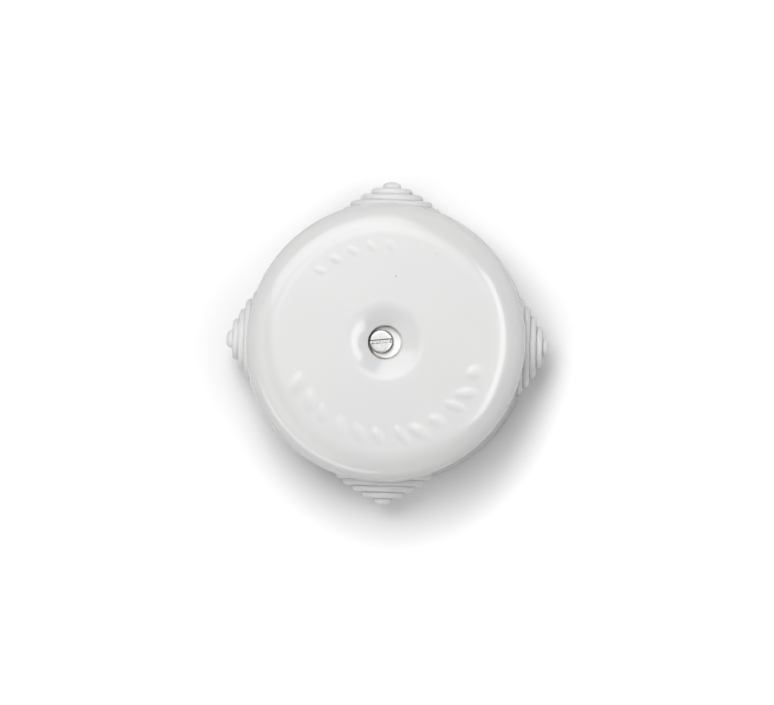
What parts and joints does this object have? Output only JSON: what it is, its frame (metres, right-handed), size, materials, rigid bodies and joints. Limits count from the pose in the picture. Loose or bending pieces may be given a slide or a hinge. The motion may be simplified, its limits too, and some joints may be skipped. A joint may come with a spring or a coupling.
{
  "type": "round junction box",
  "caption": "Round surface-mounted junction box in glazed porcelain: domed lid held by a central recessed screw, stepped cable grommets round its edge and screw terminals inside.",
  "frame": {"origin": "centre of the base's flat back, which goes against the wall", "axes": "+Z away from the wall, through the lid; the cable grommets point along +X, -X, +Y and -Y, and +Y is up on the wall"},
  "size_m": [0.102, 0.102, 0.0479],
  "materials": {
    "lid_porcelain": "thick clear glaze over white porcelain, soft edges, a few fine specks",
    "base_porcelain": "thick clear glaze, unglazed ground back",
    "grommet_pvc": "soft moulded, low sheen, off-white",
    "gasket": "matt grey",
    "washer_fibre": "vulcanised fibre, red-brown, matt",
    "nickel": "nickel plate, fine turning marks",
    "brass": "machined, plain",
    "steatite": "unglazed, fine-grained, cream",
    "zinc": "zinc plated steel"
  },
  "bodies": {
    "base": {"base_housing": "base_porcelain", "cable_grommet_west": "grommet_pvc", "cable_grommet_north": "grommet_pvc", "cable_grommet_east": "grommet_pvc", "cable_grommet_south": "grommet_pvc", "lid_post": "brass", "post_screw": "zinc", "terminal_carrier": "steatite", "carrier_screw_1": "zinc", "carrier_screw_2": "zinc", "threaded_insert_1": "brass", "threaded_insert_2": "brass", "terminal_body_1": "brass", "terminal_body_2": "brass", "terminal_body_3": "brass", "terminal_body_4": "brass", "terminal_fixing_screw_1": "zinc", "terminal_fixing_screw_2": "zinc", "terminal_fixing_screw_3": "zinc", "terminal_fixing_screw_4": "zinc"},
    "lid": {"lid": "lid_porcelain", "lid_gasket": "gasket"},
    "lid_screw_washer": {"lid_screw_washer": "washer_fibre"},
    "lid_screw": {"lid_screw": "nickel"},
    "pressure_plate_1a": {"pressure_plate_1a": "zinc"},
    "terminal_screw_1a": {"terminal_screw_1a": "nickel"},
    "pressure_plate_1b": {"pressure_plate_1b": "zinc"},
    "terminal_screw_1b": {"terminal_screw_1b": "nickel"},
    "pressure_plate_2a": {"pressure_plate_2a": "zinc"},
    "terminal_screw_2a": {"terminal_screw_2a": "nickel"},
    "pressure_plate_2b": {"pressure_plate_2b": "zinc"},
    "terminal_screw_2b": {"terminal_screw_2b": "nickel"},
    "pressure_plate_3a": {"pressure_plate_3a": "zinc"},
    "terminal_screw_3a": {"terminal_screw_3a": "nickel"},
    "pressure_plate_3b": {"pressure_plate_3b": "zinc"},
    "terminal_screw_3b": {"terminal_screw_3b": "nickel"},
    "pressure_plate_4a": {"pressure_plate_4a": "zinc"},
    "terminal_screw_4a": {"terminal_screw_4a": "nickel"},
    "pressure_plate_4b": {"pressure_plate_4b": "zinc"},
    "terminal_screw_4b": {"terminal_screw_4b": "nickel"}
  },
  "joints": [
    {"name": "lid_lift", "type": "slide", "parent": "base", "child": "lid", "axis": [0, 0, 1], "range_m": [0, 0.06]},
    {"name": "lid_screw_climb", "type": "slide", "parent": "lid", "child": "lid_screw_washer", "axis": [0, 0, 1], "range_m": [0, 0.0088]},
    {"name": "lid_screw_turn", "type": "hinge", "parent": "lid_screw_washer", "child": "lid_screw", "pos_m": [-0.0013, 0, 0.0418], "axis": [0, 0, 1], "range_deg": [0, 4530]},
    {"name": "plate_travel_1a", "type": "slide", "parent": "base", "child": "pressure_plate_1a", "axis": [0, 0, 1], "range_m": [-0.003, 0]},
    {"name": "terminal_screw_turn_1a", "type": "hinge", "parent": "pressure_plate_1a", "child": "terminal_screw_1a", "pos_m": [0.0157, 0.00834, 0.0249], "axis": [0, 0, 1], "range_deg": [-1545, 0]},
    {"name": "plate_travel_1b", "type": "slide", "parent": "base", "child": "pressure_plate_1b", "axis": [0, 0, 1], "range_m": [-0.003, 0]},
    {"name": "terminal_screw_turn_1b", "type": "hinge", "parent": "pressure_plate_1b", "child": "terminal_screw_1b", "pos_m": [0.00834, 0.0157, 0.0249], "axis": [0, 0, 1], "range_deg": [-1545, 0]},
    {"name": "plate_travel_2a", "type": "slide", "parent": "base", "child": "pressure_plate_2a", "axis": [0, 0, 1], "range_m": [-0.003, 0]},
    {"name": "terminal_screw_turn_2a", "type": "hinge", "parent": "pressure_plate_2a", "child": "terminal_screw_2a", "pos_m": [-0.00834, 0.0157, 0.0249], "axis": [0, 0, 1], "range_deg": [-1545, 0]},
    {"name": "plate_travel_2b", "type": "slide", "parent": "base", "child": "pressure_plate_2b", "axis": [0, 0, 1], "range_m": [-0.003, 0]},
    {"name": "terminal_screw_turn_2b", "type": "hinge", "parent": "pressure_plate_2b", "child": "terminal_screw_2b", "pos_m": [-0.0157, 0.00834, 0.0249], "axis": [0, 0, 1], "range_deg": [-1545, 0]},
    {"name": "plate_travel_3a", "type": "slide", "parent": "base", "child": "pressure_plate_3a", "axis": [0, 0, 1], "range_m": [-0.003, 0]},
    {"name": "terminal_screw_turn_3a", "type": "hinge", "parent": "pressure_plate_3a", "child": "terminal_screw_3a", "pos_m": [-0.0157, -0.00834, 0.0249], "axis": [0, 0, 1], "range_deg": [-1545, 0]},
    {"name": "plate_travel_3b", "type": "slide", "parent": "base", "child": "pressure_plate_3b", "axis": [0, 0, 1], "range_m": [-0.003, 0]},
    {"name": "terminal_screw_turn_3b", "type": "hinge", "parent": "pressure_plate_3b", "child": "terminal_screw_3b", "pos_m": [-0.00834, -0.0157, 0.0249], "axis": [0, 0, 1], "range_deg": [-1545, 0]},
    {"name": "plate_travel_4a", "type": "slide", "parent": "base", "child": "pressure_plate_4a", "axis": [0, 0, 1], "range_m": [-0.003, 0]},
    {"name": "terminal_screw_turn_4a", "type": "hinge", "parent": "pressure_plate_4a", "child": "terminal_screw_4a", "pos_m": [0.00834, -0.0157, 0.0249], "axis": [0, 0, 1], "range_deg": [-1545, 0]},
    {"name": "plate_travel_4b", "type": "slide", "parent": "base", "child": "pressure_plate_4b", "axis": [0, 0, 1], "range_m": [-0.003, 0]},
    {"name": "terminal_screw_turn_4b", "type": "hinge", "parent": "pressure_plate_4b", "child": "terminal_screw_4b", "pos_m": [0.0157, -0.00834, 0.0249], "axis": [0, 0, 1], "range_deg": [-1545, 0]}
  ],
  "couplings": [
    {"joint": "lid_screw_turn", "follows": "lid_screw_climb", "rad_per_m": 8976},
    {"joint": "terminal_screw_turn_1a", "follows": "plate_travel_1a", "rad_per_m": 8976},
    {"joint": "terminal_screw_turn_1b", "follows": "plate_travel_1b", "rad_per_m": 8976},
    {"joint": "terminal_screw_turn_2a", "follows": "plate_travel_2a", "rad_per_m": 8976},
    {"joint": "terminal_screw_turn_2b", "follows": "plate_travel_2b", "rad_per_m": 8976},
    {"joint": "terminal_screw_turn_3a", "follows": "plate_travel_3a", "rad_per_m": 8976},
    {"joint": "terminal_screw_turn_3b", "follows": "plate_travel_3b", "rad_per_m": 8976},
    {"joint": "terminal_screw_turn_4a", "follows": "plate_travel_4a", "rad_per_m": 8976},
    {"joint": "terminal_screw_turn_4b", "follows": "plate_travel_4b", "rad_per_m": 8976}
  ]
}
